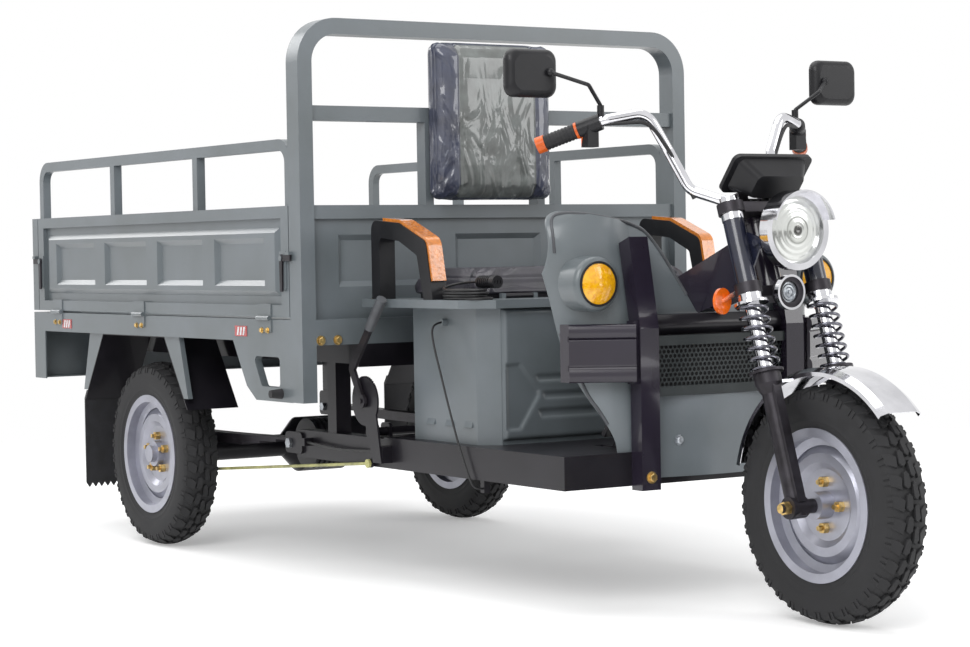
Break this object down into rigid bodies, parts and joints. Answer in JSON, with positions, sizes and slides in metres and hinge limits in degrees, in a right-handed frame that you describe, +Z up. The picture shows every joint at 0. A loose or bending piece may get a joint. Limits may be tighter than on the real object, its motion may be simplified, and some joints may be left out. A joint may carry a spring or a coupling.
{
  "type": "cargo tricycle",
  "caption": "Electric cargo tricycle with sprung front fork, drop-side load bed, hinged tailgate, padded seat over a battery box and leaf-sprung driven rear axle.",
  "frame": {"origin": "centre of the overall box at ground level", "axes": "+X forward along the wheelbase, +Y to the rider's left, +Z up"},
  "size_m": [3.249, 1.264, 1.404],
  "materials": {
    "tyre_rubber": "matte moulded rubber",
    "wheel_silver": "silver lacquer",
    "dark_metal": "dark gloss paint",
    "chrome": "polished",
    "cover_plastic": "gloss",
    "black_plastic": "fine grain",
    "grip_rubber": "ribbed",
    "clear_lens": "clear, ribbed",
    "amber_lens": "translucent moulding",
    "red_lens": "translucent moulding",
    "yellow_lens": "translucent moulding",
    "black_paint": "gloss paint on steel",
    "grey_paint": "gloss paint on pressed steel",
    "zinc_steel": "yellow zinc plate",
    "vinyl": "padded vinyl",
    "cord_rubber": "satin jacket",
    "flap_rubber": "moulded sheet",
    "battery_case": "plain case"
  },
  "bodies": {
    "chassis": {"chassis_frame": "black_paint", "floor_plate": "black_paint", "seat_box": "grey_paint", "battery_pack": "battery_case", "armrests": "black_plastic", "armrest_lenses": "amber_lens", "front_shield": "grey_paint", "shield_lamps": "yellow_lens", "bumper_frame": "dark_metal", "grille_mesh": "black_paint", "headboard": "grey_paint", "headboard_panel": "grey_paint", "bed_frame": "grey_paint", "bed_floor": "grey_paint", "rear_fenders": "black_paint", "mud_flaps": "flap_rubber", "tail_lamps": "red_lens", "backrest_pad": "vinyl", "charge_lead": "cord_rubber", "charge_plug": "black_plastic", "seat_lead": "cord_rubber", "handbrake_cable": "cord_rubber", "chassis_bolts": "zinc_steel"},
    "steering": {"fork_crowns": "dark_metal", "fork_stanchions": "chrome", "fork_covers": "cover_plastic", "handlebar": "chrome", "headlight_bucket": "cover_plastic", "headlight_rim": "chrome", "headlight_lens": "clear_lens", "horn": "dark_metal", "instrument_cluster": "black_plastic", "hand_controls": "black_plastic", "fork_reflectors": "amber_lens"},
    "fork_lower": {"fork_lowers": "dark_metal", "front_fender": "chrome", "fork_springs": "chrome"},
    "front_wheel_body": {"front_tyre": "tyre_rubber", "front_wheel": "wheel_silver"},
    "rear_axle_body": {"rear_axle": "black_paint", "leaf_springs": "black_paint"},
    "rear_wheel_right_body": {"rear_tyre_right": "tyre_rubber", "rear_wheel_right": "wheel_silver"},
    "rear_wheel_left_body": {"rear_tyre_left": "tyre_rubber", "rear_wheel_left": "wheel_silver"},
    "throttle_grip_body": {"throttle_grip": "grip_rubber"},
    "mirror_right_body": {"mirror_right": "black_plastic"},
    "mirror_left_body": {"mirror_left": "black_plastic"},
    "right_side_panel_body": {"right_side_panel": "grey_paint"},
    "left_side_panel_body": {"left_side_panel": "grey_paint"},
    "tailgate_body": {"tailgate": "grey_paint"},
    "latch_right_front_body": {"latch_right_front": "zinc_steel"},
    "latch_right_rear_body": {"latch_right_rear": "zinc_steel"},
    "latch_left_front_body": {"latch_left_front": "zinc_steel"},
    "latch_left_rear_body": {"latch_left_rear": "zinc_steel"},
    "handbrake_lever_body": {"handbrake_lever": "dark_metal"},
    "brake_pedal_body": {"brake_pedal": "black_paint"},
    "brake_shaft_body": {"brake_shaft": "black_paint"},
    "brake_rod_body": {"brake_rod": "zinc_steel"},
    "seat_cushion_body": {"seat_cushion": "vinyl"}
  },
  "joints": [
    {"name": "steer", "type": "hinge", "parent": "chassis", "child": "steering", "pos_m": [1.32165, 0, 0.24624], "axis": [-0.3057, 0, 0.9521], "range_deg": [-38, 38]},
    {"name": "fork_slide", "type": "slide", "parent": "steering", "child": "fork_lower", "axis": [-0.3057, 0, 0.9521], "range_m": [0, 0.06], "stiffness_N_per_m": 40000, "springref_m": -0.15, "deforming": ["fork_springs"]},
    {"name": "front_wheel_spin", "type": "hinge", "parent": "fork_lower", "child": "front_wheel_body", "pos_m": [1.3645, 0, 0.26], "axis": [0, 1, 0], "continuous": true},
    {"name": "rear_axle_travel", "type": "slide", "parent": "chassis", "child": "rear_axle_body", "axis": [0, 0, 1], "range_m": [0, 0.05], "stiffness_N_per_m": 120000, "springref_m": -0.15, "deforming": ["leaf_springs"]},
    {"name": "rear_wheel_right_spin", "type": "hinge", "parent": "rear_axle_body", "child": "rear_wheel_right_body", "pos_m": [-0.9155, -0.5, 0.26], "axis": [0, 1, 0], "continuous": true},
    {"name": "rear_wheel_left_spin", "type": "hinge", "parent": "rear_axle_body", "child": "rear_wheel_left_body", "pos_m": [-0.9155, 0.5, 0.26], "axis": [0, 1, 0], "continuous": true},
    {"name": "right_side_fold", "type": "hinge", "parent": "chassis", "child": "right_side_panel_body", "pos_m": [-0.764, -0.607, 0.659], "axis": [1, 0, 0], "range_deg": [0, 170]},
    {"name": "left_side_fold", "type": "hinge", "parent": "chassis", "child": "left_side_panel_body", "pos_m": [-0.764, 0.607, 0.659], "axis": [-1, 0, 0], "range_deg": [0, 170]},
    {"name": "tailgate_fold", "type": "hinge", "parent": "chassis", "child": "tailgate_body", "pos_m": [-1.6135, 0, 0.659], "axis": [0, -1, 0], "range_deg": [0, 170]},
    {"name": "latch_right_front_turn", "type": "hinge", "parent": "right_side_panel_body", "child": "latch_right_front_body", "pos_m": [0.0085, -0.607, 0.81], "axis": [0, 1, 0], "range_deg": [0, 80]},
    {"name": "latch_right_rear_turn", "type": "hinge", "parent": "right_side_panel_body", "child": "latch_right_rear_body", "pos_m": [-1.5365, -0.607, 0.81], "axis": [0, -1, 0], "range_deg": [0, 80]},
    {"name": "latch_left_front_turn", "type": "hinge", "parent": "left_side_panel_body", "child": "latch_left_front_body", "pos_m": [0.0085, 0.607, 0.81], "axis": [0, 1, 0], "range_deg": [0, 80]},
    {"name": "latch_left_rear_turn", "type": "hinge", "parent": "left_side_panel_body", "child": "latch_left_rear_body", "pos_m": [-1.5365, 0.607, 0.81], "axis": [0, -1, 0], "range_deg": [0, 80]},
    {"name": "handbrake_pull", "type": "hinge", "parent": "chassis", "child": "handbrake_lever_body", "pos_m": [0.1485, -0.462, 0.452], "axis": [0, 1, 0], "range_deg": [0, 30]},
    {"name": "pedal_press", "type": "hinge", "parent": "chassis", "child": "brake_pedal_body", "pos_m": [0.8045, -0.18, 0.33], "axis": [0, 1, 0], "range_deg": [0, 12], "stiffness_Nm_per_rad": 40, "springref_deg": -5.73},
    {"name": "brake_shaft_turn", "type": "hinge", "parent": "chassis", "child": "brake_shaft_body", "pos_m": [0.1285, -0.4, 0.372], "axis": [0, -1, 0], "range_deg": [0, 12]},
    {"name": "brake_rod_turn", "type": "hinge", "parent": "brake_shaft_body", "child": "brake_rod_body", "pos_m": [0.1285, -0.436, 0.294], "axis": [0, 1, 0], "range_deg": [0, 12]},
    {"name": "throttle_twist", "type": "hinge", "parent": "steering", "child": "throttle_grip_body", "pos_m": [0.8255, -0.386, 1.054], "axis": [-0.6919, -0.6433, -0.3277], "range_deg": [0, 60], "stiffness_Nm_per_rad": 0.4, "springref_deg": -17.19},
    {"name": "mirror_right_turn", "type": "hinge", "parent": "steering", "child": "mirror_right_body", "pos_m": [0.9285, -0.284, 1.127], "axis": [0, 0, 1], "range_deg": [-30, 30]},
    {"name": "mirror_left_turn", "type": "hinge", "parent": "steering", "child": "mirror_left_body", "pos_m": [0.9285, 0.284, 1.127], "axis": [0, 0, 1], "range_deg": [-30, 30]},
    {"name": "seat_tilt", "type": "hinge", "parent": "chassis", "child": "seat_cushion_body", "pos_m": [0.4925, 0, 0.7113], "axis": [0, 1, 0], "range_deg": [0, 80]}
  ],
  "couplings": [
    {"joint": "brake_shaft_turn", "follows": "pedal_press", "ratio": 1},
    {"joint": "brake_rod_turn", "follows": "pedal_press", "ratio": 1}
  ]
}
